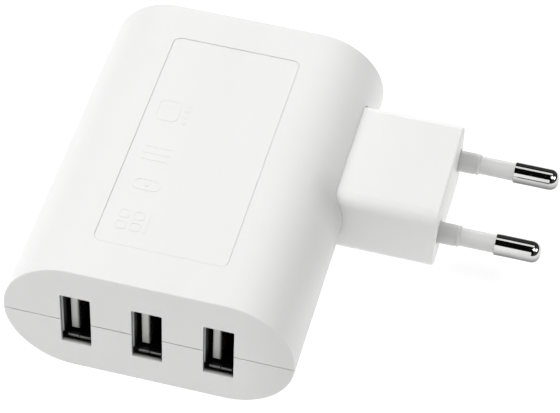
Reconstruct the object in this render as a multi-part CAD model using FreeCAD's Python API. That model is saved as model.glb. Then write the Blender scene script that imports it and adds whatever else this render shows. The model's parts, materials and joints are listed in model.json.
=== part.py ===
"""Three-port USB wall charger with a two-pin Europlug, built as an assembly.

Frame: millimetres, +Z up. The charger lies on its flat back. The origin is the centre of that
flat face. +X runs along the plug pins, -Y is the end face that holds the three USB sockets.
"""
import FreeCAD, Part
import math
import os

V = FreeCAD.Vector

# ---- housing -------------------------------------------------------------------------------
BODY_X = 53.4                       # across the rounded sides
BODY_Y = 69.6                       # between the two flat end faces
BODY_Z = 25.6                       # thickness; the sides are half rounds of this height
WALL = 2.0                          # rounded sides, top and bottom
END_WALL = 1.6                      # flat end walls, so the sockets sit close to the face
END_EDGE = 0.25                     # rounding of the end faces' edges
MID_Z = BODY_Z / 2
SEAM_Z = MID_Z - 0.6                # parting plane of the two shells
SEAM_GAP = 0.24                     # width of the fine groove along the parting plane
SEAM_DEPTH = 0.45
LIP_HEIGHT = 1.3                    # bottom shell's inner lip, standing into the top shell
LIP_CLEARANCE = 0.06

# ---- rating panel on the top face ----------------------------------------------------------
PANEL_X = (-12.55, 11.95)
PANEL_Y = (-26.35, 26.4)
PANEL_CORNER = 1.5
PANEL_DEPTH = 0.1
PANEL_GROOVE_WIDTH = 0.16           # fine groove just inside the panel's outline
PANEL_GROOVE_DEPTH = 0.22
MARK_HEIGHT = 0.07                  # raised shapes stand this far above the panel's floor
MARK_LINE = 0.32
MARK_FRAMES = [((-10.6, -6.2), (4.8, 10.2), 1.2), ((-9.6, -4.4), (-12.7, -9.9), 1.3)]
MARK_TICKS = ((-5.4, -4.4), 4.8, 0.9, 1.5, 4)       # x limits, first y, length, pitch, count
MARK_BARS = ((-10.0, -5.0), -5.4, MARK_LINE, 1.6, 3)
MARK_DOT = (-7.0, -11.3, 0.5)                       # x, y, radius
MARK_TILES = ((-9.9, -22.6), 2.1, 2.7, 0.6)         # first corner, size, pitch, rounding
MARK_RULE = ((-4.4, -4.4 + MARK_LINE), (-22.7, -17.8))

# ---- plug ----------------------------------------------------------------------------------
PLUG_Y = 13.1                       # centre of the plug block and of the two pins
PLUG_Z = SEAM_Z
BLOCK_Y = 25.3
BLOCK_Z = 14.1
BLOCK_FACE_X = 44.2                 # engagement face, where the pins leave the block
BLOCK_EDGE = 2.2
BLOCK_FACE_EDGE = 0.45
BLOCK_WALL = 1.2
FLANGE_X = 18.5                     # back of the flange that the two shells trap
FLANGE_THICK = 1.5
FLANGE_RIM = 1.2
COLLAR_THICK = 1.7                  # ribs of the shells, in front of the flange
SHELL_FIT = 0.12                    # gap between the block and the shells
PIN_PITCH = 18.6                    # Europlug, at the engagement face
PIN_LENGTH = 19.0
PIN_R = 2.0
PIN_CORE_R = 1.3                    # under the sleeve and inside the block
PIN_TIP_ROUND = 1.6
METAL_LENGTH = 8.4                  # bare metal at the free end
SLEEVE_R = 1.7
SLEEVE_ROOT_R = 2.0
SLEEVE_ROOT_LENGTH = 3.5
SLEEVE_INSET = 6.0                  # length of the sleeve inside the block
ROOT_GAP = 0.3                      # ring of clearance round the sleeve at the block's face
ROOT_GAP_DEPTH = 1.5
RING_WIDTH = 0.3
RING_DEPTH = 0.12
SHOULDER_R = 2.0
SHOULDER_THICK = 1.0
BOSS_R = 3.4
RIVET_R = 1.0
TERMINAL_THICK = 0.6
TERMINAL_WIDTH = 4.4
TERMINAL_STEP = 1.6

# ---- circuit board -------------------------------------------------------------------------
BOARD_TOP = 5.9
BOARD_THICK = 1.6
BOARD_X = (-20.0, 20.0)
PLUG_NOTCH = 0.3                    # gap between the board and the plug block's flange
BOARD_Y = (-31.0, 32.0)
LEAD = 0.6                          # square component leads
LEAD_BELOW = 0.9                    # length of lead under the board
STANDOFF = 0.3                      # gap between a leaded part and the board
POST_R = 1.5
POSTS = [(-18.2, 31.0), (17.2, 29.8), (17.4, -14.5), (-18.0, -14.5)]

# ---- USB type A sockets, standing on their narrow side -------------------------------------
PORT_PITCH = 13.08
PORT_MID_X = -0.2
PORT_Z = MID_Z - 0.26
PORT_X = [PORT_MID_X + step * PORT_PITCH for step in (-1, 0, 1)]
MOUTH_X = 5.6                       # opening in the end wall
MOUTH_Z = 12.56
MOUTH_CORNER = 0.25
MOUTH_WALL = 0.85                   # the end wall is thinned to this behind each opening
MOUTH_MARGIN = 0.9                  # how far the thinned pocket reaches round an opening
CAN_X = 5.7                         # drawn metal shell, outside
CAN_Z = 13.1
CAN_SHEET = 0.3
CAN_FRONT = -BODY_Y / 2 + END_WALL + 0.05
CAN_LENGTH = 14.0
CAN_BACK = CAN_FRONT + CAN_LENGTH
LIP_LENGTH = 0.8                    # rim segments; those of the broad sides flare outward
LIP_FLARE = 0.4
LIP_WIDTH = 4.1                     # both segments of a narrow side, with the slit between them
LIP_SLIT = 0.22
TONGUE_X = 1.62
TONGUE_Z = 11.1
TONGUE_OFFSET = -1.0                # from the socket's centre, away from the contacts
TONGUE_TIP = -BODY_Y / 2 + 2.8
HOUSING_FRONT = CAN_BACK - 3.2      # front of the insulator's rear block
CONTACT_Z = (-3.5, -1.0, 1.0, 3.5)
CONTACT_WIDTH = 1.0
CONTACT_SHEET = 0.2
SLOT_WIDTH = 1.3
SLOT_DEPTH = 1.2
PIVOT_GAP = 0.15                    # between a spring contact and its fixed tail
CONTACT_TURN = 3.5                  # degrees that a mating plug presses the contacts back


# ---- helpers -------------------------------------------------------------------------------
def bar(x, y, z):
    """Box between the two limits given for each axis."""
    return Part.makeBox(x[1] - x[0], y[1] - y[0], z[1] - z[0], V(x[0], y[0], z[0]))


def standing_box(cx, cy, size_x, size_y, height, base=BOARD_TOP):
    """Box centred on cx, cy that stands on the level base."""
    return Part.makeBox(size_x, size_y, height, V(cx - size_x / 2, cy - size_y / 2, base))


def rod(radius, length, start, axis):
    """Cylinder from the point start along axis."""
    return Part.makeCylinder(radius, length, start, axis)


def turned(profile, centre):
    """Solid of revolution about the +X line through centre; profile is (x, radius) points."""
    points = [V(x, centre.y + radius, centre.z) for x, radius in profile]
    first = V(profile[0][0], centre.y, centre.z)
    last = V(profile[-1][0], centre.y, centre.z)
    outline = Part.makePolygon([first] + points + [last, first])
    return Part.Face(outline).revolve(centre, V(1, 0, 0), 360)


def joined(shapes):
    """One solid from overlapping shapes."""
    result = shapes[0].fuse(shapes[1:]) if len(shapes) > 1 else shapes[0]
    return result.removeSplitter()


def stadium(inset, y_low, y_high):
    """Prism along Y with the housing's cross-section, drawn in by inset."""
    radius = MID_Z - inset
    reach = BODY_X / 2 - MID_Z
    low, high = MID_Z - radius, MID_Z + radius
    bottom = Part.LineSegment(V(-reach, y_low, low), V(reach, y_low, low))
    right = Part.Arc(V(reach, y_low, low), V(reach + radius, y_low, MID_Z), V(reach, y_low, high))
    top = Part.LineSegment(V(reach, y_low, high), V(-reach, y_low, high))
    left = Part.Arc(V(-reach, y_low, high), V(-reach - radius, y_low, MID_Z), V(-reach, y_low, low))
    wire = Part.Wire([curve.toShape() for curve in (bottom, right, top, left)])
    return Part.Face(wire).extrude(V(0, y_high - y_low, 0))


def rounded_bar(x, y, z, radius, along):
    """Box with its four edges along one axis rounded."""
    shape = bar(x, y, z)
    edges = [edge for edge in shape.Edges if abs(edge.tangentAt(0).dot(along)) > 0.99]
    return shape.makeFillet(radius, edges)


def lead(cx, cy, top=BOARD_TOP + STANDOFF):
    """Square lead that passes through the board."""
    bottom = BOARD_TOP - BOARD_THICK - LEAD_BELOW
    return standing_box(cx, cy, LEAD, LEAD, top - bottom, bottom)


# ---- housing -------------------------------------------------------------------------------
def housing_outside():
    """Whole outer form: a stadium bar with softly rounded end edges."""
    shape = stadium(0, -BODY_Y / 2, BODY_Y / 2)
    ends = [edge for edge in shape.Edges
            if abs(abs(edge.CenterOfMass.y) - BODY_Y / 2) < 1e-6]
    return shape.makeFillet(END_EDGE, ends)


def cavity():
    inner = BODY_Y / 2 - END_WALL
    return stadium(WALL, -inner, inner)


def housing_wall():
    """Hollow housing before it is split."""
    return housing_outside().cut(cavity())


def half_space(upper):
    reach = BODY_Y
    limits = (SEAM_Z, BODY_Z + 5) if upper else (-5, SEAM_Z)
    return bar((-reach, reach), (-reach, reach), limits)


def seam_groove():
    """Fine groove around the outside, centred on the parting plane."""
    half = SEAM_GAP / 2
    limits = (SEAM_Z - half, SEAM_Z + half)
    band = bar((-BODY_X, BODY_X), (-BODY_Y, BODY_Y), limits)
    inner = BODY_Y / 2 - SEAM_DEPTH
    return band.cut(stadium(SEAM_DEPTH, -inner, inner))


def lip_ring(outer_inset, height):
    """Ring just inside the wall, standing on the parting plane."""
    outer_y = BODY_Y / 2 - outer_inset * END_WALL / WALL
    ring = stadium(outer_inset, -outer_y, outer_y).cut(cavity())
    return ring.common(bar((-BODY_X, BODY_X), (-BODY_Y, BODY_Y), (SEAM_Z, SEAM_Z + height)))


def socket_mouths():
    """Openings in the end wall, one per socket."""
    y = (-BODY_Y / 2 - 1, -BODY_Y / 2 + END_WALL + 0.5)
    z = (PORT_Z - MOUTH_Z / 2, PORT_Z + MOUTH_Z / 2)
    mouths = []
    for centre in PORT_X:
        x = (centre - MOUTH_X / 2, centre + MOUTH_X / 2)
        mouths.append(rounded_bar(x, y, z, MOUTH_CORNER, V(0, 1, 0)))
    return mouths


def mouth_pockets():
    """Thinned places on the inside of the end wall, so that each socket's rim stands free."""
    y = (-BODY_Y / 2 + MOUTH_WALL, -BODY_Y / 2 + END_WALL + 0.5)
    half_x = MOUTH_X / 2 + MOUTH_MARGIN
    half_z = MOUTH_Z / 2 + MOUTH_MARGIN
    z = (PORT_Z - half_z, PORT_Z + half_z)
    return [bar((centre - half_x, centre + half_x), y, z) for centre in PORT_X]


def block_outline(x, grow):
    """Rounded bar with the plug block's section, grown by a clearance."""
    half_y = BLOCK_Y / 2 + grow
    half_z = BLOCK_Z / 2 + grow
    y = (PLUG_Y - half_y, PLUG_Y + half_y)
    z = (PLUG_Z - half_z, PLUG_Z + half_z)
    return rounded_bar(x, y, z, BLOCK_EDGE + grow, V(1, 0, 0))


def collar():
    """Ribs of the two shells that stand in front of the plug block's flange."""
    back = FLANGE_X + FLANGE_THICK + SHELL_FIT
    half_y = BLOCK_Y / 2 + FLANGE_RIM + 1.5
    y = (PLUG_Y - half_y, PLUG_Y + half_y)
    frame = bar((back, back + COLLAR_THICK), y, (0, BODY_Z))
    return frame.common(stadium(WALL / 2, -BODY_Y / 4, BODY_Y / 2 - END_WALL))


def posts(upper):
    """Round posts that hold the board: down from the top shell, up from the bottom shell."""
    limits = (BOARD_TOP, BODY_Z) if upper else (0, BOARD_TOP - BOARD_THICK)
    envelope = stadium(WALL / 2, -BODY_Y / 2, BODY_Y / 2)
    shapes = []
    for x, y in POSTS:
        post = rod(POST_R, limits[1] - limits[0], V(x, y, limits[0]), V(0, 0, 1))
        shapes.append(post.common(envelope))
    return shapes


def outline(x, y, z, corner, line):
    """Rounded rectangular frame, flat on the broad face."""
    up = V(0, 0, 1)
    inner_x = (x[0] + line, x[1] - line)
    inner_y = (y[0] + line, y[1] - line)
    frame = rounded_bar(x, y, z, corner, up)
    return frame.cut(rounded_bar(inner_x, inner_y, z, corner - line, up))


def panel_recess():
    """Shallow panel with a fine groove just inside its outline."""
    up = V(0, 0, 1)
    floor = rounded_bar(PANEL_X, PANEL_Y, (BODY_Z - PANEL_DEPTH, BODY_Z + 1), PANEL_CORNER, up)
    z = (BODY_Z - PANEL_GROOVE_DEPTH, BODY_Z + 1)
    return [floor, outline(PANEL_X, PANEL_Y, z, PANEL_CORNER, PANEL_GROOVE_WIDTH)]


def raised_marks():
    """Plain geometric relief along one edge of the rating panel."""
    floor = BODY_Z - PANEL_DEPTH
    z = (floor - PANEL_DEPTH, floor + MARK_HEIGHT)
    marks = [outline(x, y, z, corner, MARK_LINE) for x, y, corner in MARK_FRAMES]
    for x, first, length, pitch, count in (MARK_TICKS, MARK_BARS):
        for step in range(count):
            low = first + step * pitch
            marks.append(bar(x, (low, low + length), z))
    dot_x, dot_y, radius = MARK_DOT
    marks.append(rod(radius, z[1] - z[0], V(dot_x, dot_y, z[0]), V(0, 0, 1)))
    (tile_x, tile_y), size, pitch, rounding = MARK_TILES
    for row in range(2):
        for column in range(2):
            x_low, y_low = tile_x + row * pitch, tile_y + column * pitch
            x, y = (x_low, x_low + size), (y_low, y_low + size)
            marks.append(outline(x, y, z, rounding, MARK_LINE))
    marks.append(bar(MARK_RULE[0], MARK_RULE[1], z))
    return marks


def top_shell():
    shape = housing_wall().common(half_space(True))
    shape = shape.cut(lip_ring(WALL / 2 - LIP_CLEARANCE, LIP_HEIGHT + LIP_CLEARANCE))
    hold_downs = collar().common(half_space(True))
    shape = shape.fuse([hold_downs] + posts(True))
    opening = block_outline((FLANGE_X, BLOCK_FACE_X), SHELL_FIT)
    cuts = [opening, seam_groove()] + panel_recess() + socket_mouths() + mouth_pockets()
    shape = shape.cut(cuts)
    marks = [mark.common(half_space(True)) for mark in raised_marks()]
    return shape.fuse(marks).removeSplitter()


def bottom_shell():
    shape = housing_wall().common(half_space(False))
    ribs = collar().common(half_space(False))
    lip = lip_ring(WALL / 2, LIP_HEIGHT)
    shape = shape.fuse([lip, ribs] + posts(False))
    lip_room = block_outline((FLANGE_X, BLOCK_FACE_X), SHELL_FIT + 0.4)
    lip_room = lip_room.common(half_space(True))
    rib_room = collar().common(half_space(True))
    opening = block_outline((FLANGE_X, BLOCK_FACE_X), SHELL_FIT)
    cuts = [opening, lip_room, rib_room, seam_groove()] + socket_mouths() + mouth_pockets()
    return shape.cut(cuts).removeSplitter()


# ---- plug ----------------------------------------------------------------------------------
def pin_centres():
    """Where the two pins' axes cross the plane x = 0."""
    return [V(0, PLUG_Y - PIN_PITCH / 2, PLUG_Z), V(0, PLUG_Y + PIN_PITCH / 2, PLUG_Z)]


def retainer_limits():
    """Rear pocket of the plug block, which the retainer plate closes."""
    half_y = BLOCK_Y / 2 - BLOCK_WALL
    half_z = BLOCK_Z / 2 - BLOCK_WALL
    return (PLUG_Y - half_y, PLUG_Y + half_y), (PLUG_Z - half_z, PLUG_Z + half_z)


def flange_limits():
    """Widest extent of the flange that the shells trap."""
    half_y = BLOCK_Y / 2 + FLANGE_RIM
    half_z = BLOCK_Z / 2 + FLANGE_RIM
    return (PLUG_Y - half_y, PLUG_Y + half_y), (PLUG_Z - half_z, PLUG_Z + half_z)


def plug_block():
    """Block that carries the pins: hollow from behind, with a boss round each pin."""
    shape = block_outline((FLANGE_X, BLOCK_FACE_X), 0)
    rim = [edge for edge in shape.Edges if edge.BoundBox.XMin > BLOCK_FACE_X - 1e-6]
    shape = shape.makeFillet(BLOCK_FACE_EDGE, rim)
    y, z = flange_limits()
    flange = bar((FLANGE_X, FLANGE_X + FLANGE_THICK), y, z)
    shape = shape.fuse(flange.common(stadium(WALL + 0.15, -BODY_Y / 2, BODY_Y / 2)))
    y, z = retainer_limits()
    pocket_end = BLOCK_FACE_X - SLEEVE_INSET - 1.0
    pocket = bar((FLANGE_X, pocket_end), y, z)
    shoulder_x = FLANGE_X + FLANGE_THICK + SHOULDER_THICK
    bosses = [rod(BOSS_R, pocket_end - shoulder_x, V(shoulder_x, centre.y, centre.z), V(1, 0, 0))
              for centre in pin_centres()]
    shape = shape.cut(pocket.cut(bosses))
    for centre in pin_centres():
        start = V(shoulder_x - 1, centre.y, centre.z)
        shape = shape.cut(rod(PIN_CORE_R, BLOCK_FACE_X, start, V(1, 0, 0)))
        start = V(BLOCK_FACE_X - SLEEVE_INSET, centre.y, centre.z)
        shape = shape.cut(rod(SLEEVE_ROOT_R, SLEEVE_INSET + 1, start, V(1, 0, 0)))
        start = V(BLOCK_FACE_X - ROOT_GAP_DEPTH, centre.y, centre.z)
        shape = shape.cut(rod(SLEEVE_ROOT_R + ROOT_GAP, 2 * ROOT_GAP_DEPTH, start, V(1, 0, 0)))
    return shape.removeSplitter()


def plug_retainer():
    """Plate that closes the block's pocket and holds the pins' shoulders."""
    y, z = retainer_limits()
    shape = bar((FLANGE_X, FLANGE_X + FLANGE_THICK), y, z)
    for centre in pin_centres():
        start = V(FLANGE_X - 1, centre.y, centre.z)
        shape = shape.cut(rod(PIN_CORE_R, 2 * FLANGE_THICK, start, V(1, 0, 0)))
    return shape


def plug_pin(centre):
    """Nickel-plated pin: rivet end, shoulder, thin core and the bare, round-ended contact."""
    tip_x = BLOCK_FACE_X + PIN_LENGTH
    metal_x = tip_x - METAL_LENGTH
    shoulder_x = FLANGE_X + FLANGE_THICK
    rivet_x = FLANGE_X - TERMINAL_THICK
    profile = [
        (rivet_x - 0.5, 1.5),
        (rivet_x, 1.5),
        (rivet_x, RIVET_R),
        (FLANGE_X, RIVET_R),
        (FLANGE_X, PIN_CORE_R),
        (shoulder_x, PIN_CORE_R),
        (shoulder_x, SHOULDER_R),
        (shoulder_x + SHOULDER_THICK, SHOULDER_R),
        (shoulder_x + SHOULDER_THICK, PIN_CORE_R),
        (metal_x, PIN_CORE_R),
        (metal_x, PIN_R),
        (tip_x, PIN_R),
    ]
    shape = turned(profile, centre)
    tip = [edge for edge in shape.Edges if edge.BoundBox.XMin > tip_x - 1e-6]
    return shape.makeFillet(PIN_TIP_ROUND, tip)


def pin_sleeve(centre):
    """Insulating sleeve with a thicker root, a fine ring at the end of the root, and a bore."""
    start = BLOCK_FACE_X - SLEEVE_INSET
    root = BLOCK_FACE_X + SLEEVE_ROOT_LENGTH
    end = BLOCK_FACE_X + PIN_LENGTH - METAL_LENGTH
    outside = [
        (start, SLEEVE_ROOT_R),
        (root - RING_WIDTH, SLEEVE_ROOT_R),
        (root - RING_WIDTH, SLEEVE_ROOT_R - RING_DEPTH),
        (root, SLEEVE_ROOT_R - RING_DEPTH),
        (root, SLEEVE_ROOT_R),
        (root + RING_WIDTH, SLEEVE_ROOT_R),
        (root + 2 * RING_WIDTH, SLEEVE_R),
        (end, SLEEVE_R),
    ]
    bore = rod(PIN_CORE_R, end - start + 2, V(start - 1, centre.y, centre.z), V(1, 0, 0))
    return turned(outside, centre).cut(bore)


def plug_terminal(centre):
    """Brass strip riveted to a pin's rear end, stepped inward and soldered into the board."""
    x = (FLANGE_X - TERMINAL_THICK, FLANGE_X)
    foot_x = (x[0] - TERMINAL_STEP, x[1] - TERMINAL_STEP)
    step_z = BOARD_TOP + 1.2
    half = TERMINAL_WIDTH / 2
    y = (centre.y - half, centre.y + half)
    eye = rod(half, TERMINAL_THICK, V(x[0], centre.y, centre.z), V(1, 0, 0))
    strip = bar(x, y, (step_z, centre.z))
    step = bar((foot_x[0], x[1]), y, (step_z, step_z + TERMINAL_THICK))
    foot = bar(foot_x, (centre.y - 0.8, centre.y + 0.8),
               (BOARD_TOP - BOARD_THICK - LEAD_BELOW, step_z + TERMINAL_THICK))
    hole = rod(RIVET_R, 2 * TERMINAL_THICK, V(x[0] - 0.1, centre.y, centre.z), V(1, 0, 0))
    return joined([eye, strip, step, foot]).cut(hole)


# ---- USB sockets ---------------------------------------------------------------------------
def can_tube(centre):
    """Drawn rectangular sleeve of the metal shell, behind the flared rim."""
    y = (CAN_FRONT + LIP_LENGTH, CAN_BACK)
    half_x, half_z = CAN_X / 2, CAN_Z / 2
    outer = rounded_bar((centre - half_x, centre + half_x), y, (PORT_Z - half_z, PORT_Z + half_z),
                        0.6, V(0, 1, 0))
    half_x, half_z = half_x - CAN_SHEET, half_z - CAN_SHEET
    y = (y[0] - 1, y[1] + 1)
    inner = rounded_bar((centre - half_x, centre + half_x), y, (PORT_Z - half_z, PORT_Z + half_z),
                        0.3, V(0, 1, 0))
    return outer.cut(inner)


def flared_lip(centre, outward):
    """Rim segment of a broad side, leaning away from the socket's middle."""
    back, front, half = CAN_FRONT + LIP_LENGTH, CAN_FRONT, CAN_X / 2
    profile = [(back, half), (front, half + LIP_FLARE), (front, half + LIP_FLARE - CAN_SHEET),
               (back, half - CAN_SHEET)]
    low = PORT_Z - CAN_Z / 2 + 0.9
    points = [V(centre + outward * reach, y, low) for y, reach in profile]
    return Part.Face(Part.makePolygon(points + [points[0]])).extrude(V(0, 0, CAN_Z - 1.8))


def straight_lips(centre, outward):
    """Rim of a narrow side: two straight segments with the sheet's seam between them."""
    y = (CAN_FRONT, CAN_FRONT + LIP_LENGTH)
    z = sorted((PORT_Z + outward * CAN_Z / 2, PORT_Z + outward * (CAN_Z / 2 - CAN_SHEET)))
    near, far = LIP_SLIT / 2, LIP_WIDTH / 2
    return [bar((centre - far, centre - near), y, z), bar((centre + near, centre + far), y, z)]


def can_spring(centre, side, offset):
    """Leaf spring on a broad side, leaning into the socket."""
    root, tip = CAN_FRONT + 8.2, CAN_FRONT + 3.4
    wall = CAN_X / 2
    profile = [(root, wall), (tip, wall - 0.35), (tip, wall - 0.35 - CAN_SHEET),
               (root, wall - CAN_SHEET)]
    points = [V(centre + side * reach, y, PORT_Z + offset - 1.0) for y, reach in profile]
    return Part.Face(Part.makePolygon(points + [points[0]])).extrude(V(0, 0, 2.0))


def spring_window(centre, side, offset):
    """U-shaped clearance round a leaf spring."""
    reach = sorted((centre + side * (CAN_X / 2 + 0.2), centre + side * (CAN_X / 2 - 0.5)))
    return bar(reach, (CAN_FRONT + 3.0, CAN_FRONT + 8.2),
               (PORT_Z + offset - 1.4, PORT_Z + offset + 1.4))


def usb_shell(centre):
    """Metal shell of a socket: tube, flared rim, four leaf springs and two solder legs."""
    springs = [(side, offset) for side in (-1, 1) for offset in (-3.0, 3.0)]
    shape = can_tube(centre).cut([spring_window(centre, *spring) for spring in springs])
    pieces = [can_spring(centre, *spring) for spring in springs]
    for outward in (-1, 1):
        pieces.append(flared_lip(centre, outward))
        pieces += straight_lips(centre, outward)
        wall = sorted((centre + outward * CAN_X / 2, centre + outward * (CAN_X / 2 - CAN_SHEET)))
        leg = bar(wall, (CAN_FRONT + 6.4, CAN_FRONT + 8.0),
                  (BOARD_TOP - BOARD_THICK - LEAD_BELOW, PORT_Z - CAN_Z / 2 + 1.2))
        pieces.append(leg)
    return joined([shape] + pieces)


def tail_strips(centre):
    """Fixed ends of the contacts: straight through the rear block, then down into the board."""
    outer = centre + TONGUE_OFFSET + TONGUE_X / 2 - 0.5
    x = (outer - CONTACT_SHEET, outer)
    strips = []
    for index, offset in enumerate(CONTACT_Z):
        z = (PORT_Z + offset - CONTACT_WIDTH / 2, PORT_Z + offset + CONTACT_WIDTH / 2)
        drop = CAN_BACK + 0.3 + index * 0.8
        run = bar(x, (HOUSING_FRONT, drop + LEAD), z)
        down = bar(x, (drop, drop + LEAD), (BOARD_TOP - BOARD_THICK - LEAD_BELOW, z[1]))
        strips.append(joined([run, down]))
    return strips


def usb_tails(centre):
    """The four fixed contact ends of one socket."""
    return Part.makeCompound(tail_strips(centre))


def usb_insulator(centre):
    """Moulded tongue and rear block, with a slot for each spring contact."""
    middle = centre + TONGUE_OFFSET
    face = middle + TONGUE_X / 2
    z = (PORT_Z - TONGUE_Z / 2, PORT_Z + TONGUE_Z / 2)
    tongue = bar((middle - TONGUE_X / 2, face), (TONGUE_TIP, HOUSING_FRONT), z)
    front = [edge for edge in tongue.Edges if edge.BoundBox.YMax < TONGUE_TIP + 1e-6]
    tongue = tongue.makeFillet(0.35, front)
    half_x = CAN_X / 2 - CAN_SHEET - 0.05
    half_z = CAN_Z / 2 - CAN_SHEET - 0.05
    block = rounded_bar((centre - half_x, centre + half_x), (HOUSING_FRONT, CAN_BACK - 0.2),
                        (PORT_Z - half_z, PORT_Z + half_z), 0.3, V(0, 1, 0))
    slots = []
    for offset in CONTACT_Z:
        z = (PORT_Z + offset - SLOT_WIDTH / 2, PORT_Z + offset + SLOT_WIDTH / 2)
        slots.append(bar((face - SLOT_DEPTH, face + 1), (TONGUE_TIP + 0.55, HOUSING_FRONT), z))
    shape = tongue.fuse(block).removeSplitter()
    return shape.cut(slots + tail_strips(centre))


def contact_pivot(centre):
    """Line about which a socket's contacts bend, where they leave the rear block."""
    return V(centre + TONGUE_OFFSET + TONGUE_X / 2 - 0.6, HOUSING_FRONT - PIVOT_GAP, PORT_Z)


def usb_contacts(centre):
    """Four bowed spring contacts that stand out of the tongue's slots."""
    face = centre + TONGUE_OFFSET + TONGUE_X / 2
    root = HOUSING_FRONT - PIVOT_GAP
    outside = [(root, face - 0.5), (root - 5.2, face + 0.42), (root - 6.2, face + 0.42),
               (root - 7.9, face - 0.35)]
    inside = [(y, x - CONTACT_SHEET) for y, x in reversed(outside)]
    contacts = []
    for offset in CONTACT_Z:
        z = PORT_Z + offset - CONTACT_WIDTH / 2
        points = [V(x, y, z) for y, x in outside + inside]
        face_shape = Part.Face(Part.makePolygon(points + [points[0]]))
        contacts.append(face_shape.extrude(V(0, 0, CONTACT_WIDTH)))
    return Part.makeCompound(contacts)


# ---- mains side ----------------------------------------------------------------------------
def fuse_link():
    """Axial cartridge fuse with end caps, its leads bent down into the board."""
    y, z, radius, length, start = 30.6, BOARD_TOP + 2.2, 1.8, 10.0, -3.0
    tube = rod(radius - 0.2, length, V(start, y, z), V(1, 0, 0))
    cap = rod(radius, 2.0, V(start, y, z), V(1, 0, 0))
    other = rod(radius, 2.0, V(start + length - 2.0, y, z), V(1, 0, 0))
    wires = []
    for x in (start - 1.2, start + length + 1.2):
        wires.append(lead(x, y, z + LEAD / 2))
    run = bar((start - 1.2, start + length + 1.2), (y - LEAD / 2, y + LEAD / 2),
              (z - LEAD / 2, z + LEAD / 2))
    return joined([tube, cap, other, run] + wires)


def disc_part(x, y, radius, thick):
    """Epoxy-dipped disc standing on two leads, its flat sides facing along X."""
    z = BOARD_TOP + 1.0 + radius
    disc = rod(radius, thick, V(x - thick / 2, y, z), V(1, 0, 0))
    disc = disc.makeFillet(thick * 0.35, [edge for edge in disc.Edges if edge.Length > 2 * radius])
    wires = [lead(x, y - 2.5, z), lead(x, y + 2.5, z)]
    return joined([disc] + wires)


def x_capacitor():
    case = standing_box(-1.5, 25.7, 13.0, 5.0, 11.0, BOARD_TOP + STANDOFF)
    case = case.makeFillet(0.5, case.Edges)
    wires = [lead(-6.5, 25.7, BOARD_TOP + 2), lead(3.5, 25.7, BOARD_TOP + 2)]
    return joined([case] + wires)


CHOKE = V(-1.5, 18.4, BOARD_TOP + 7.2)
CHOKE_R = (3.3, 5.6)
CHOKE_THICK = 5.0


def choke_core():
    start = V(CHOKE.x, CHOKE.y - CHOKE_THICK / 2, CHOKE.z)
    ring = rod(CHOKE_R[1], CHOKE_THICK, start, V(0, 1, 0))
    return ring.cut(rod(CHOKE_R[0], CHOKE_THICK, start, V(0, 1, 0)))


def choke_windings():
    """Turns of wire round the ring core, in two separate coils."""
    wire = 0.55
    turns = []
    for half in (0, 180):
        for step in range(7):
            angle = half + 30 + step * 20
            inner = CHOKE_R[0] - 2 * wire
            outer = CHOKE_R[1] + wire
            loop = bar((inner, outer + wire), (-CHOKE_THICK / 2 - wire * 2, CHOKE_THICK / 2 + wire * 2),
                       (-wire / 2 - 0.1, wire / 2 + 0.1))
            loop.rotate(V(0, 0, 0), V(0, 1, 0), angle)
            loop.translate(CHOKE)
            turns.append(loop)
    coils = turns[0].fuse(turns[1:]).cut(choke_core())
    bed = [lead(CHOKE.x + x, CHOKE.y + y, BOARD_TOP + 2.4) for x in (-4.5, 4.5) for y in (-3.2, 3.2)]
    return Part.makeCompound([coils.cut(bed)] + bed)


def bridge_rectifier():
    body = standing_box(-1.2, 11.5, 13.6, 3.2, 9.6, BOARD_TOP + STANDOFF + 0.6)
    edges = [edge for edge in body.Edges if edge.Length < 3.3 and edge.BoundBox.ZMin > BOARD_TOP + 9]
    body = body.makeChamfer(0.8, edges[:1])
    wires = [lead(-1.2 + step * 3.8, 11.5, BOARD_TOP + 3) for step in (-1.5, -0.5, 0.5, 1.5)]
    return joined([body] + wires)


def can_capacitor(x, y, radius, height, pitch):
    """Aluminium electrolytic capacitor: rolled groove near the base, scored round top."""
    base = BOARD_TOP + STANDOFF
    body = rod(radius, height, V(x, y, base), V(0, 0, 1))
    rims = [edge for edge in body.Edges if edge.Length > 2 * radius + 1]
    body = body.makeFillet(0.5, rims)
    groove = Part.makeTorus(radius + 0.25, 0.6, V(x, y, base + 2.0), V(0, 0, 1))
    body = body.cut(groove)
    wires = [lead(x - pitch / 2, y), lead(x + pitch / 2, y)]
    return joined([body] + wires)


# ---- transformer ---------------------------------------------------------------------------
CORE = V(-4.0, 0.0, BOARD_TOP + 2.0)
CORE_X = 21.0
CORE_Y = 7.0
CORE_Z = 14.0
CORE_LEG = 3.4
CENTRE_LEG = 6.0
YOKE = 3.2


def transformer_core():
    """Two E-shaped ferrite halves, closed round the bobbin."""
    outer = standing_box(CORE.x, CORE.y, CORE_X, CORE_Y, CORE_Z, CORE.z)
    window_x = (CORE_X - CENTRE_LEG) / 2 - CORE_LEG
    windows = []
    for side in (-1, 1):
        x = CORE.x + side * (CENTRE_LEG + window_x) / 2
        windows.append(standing_box(x, CORE.y, window_x, CORE_Y + 2, CORE_Z - 2 * YOKE, CORE.z + YOKE))
    return outer.cut(windows)


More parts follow.
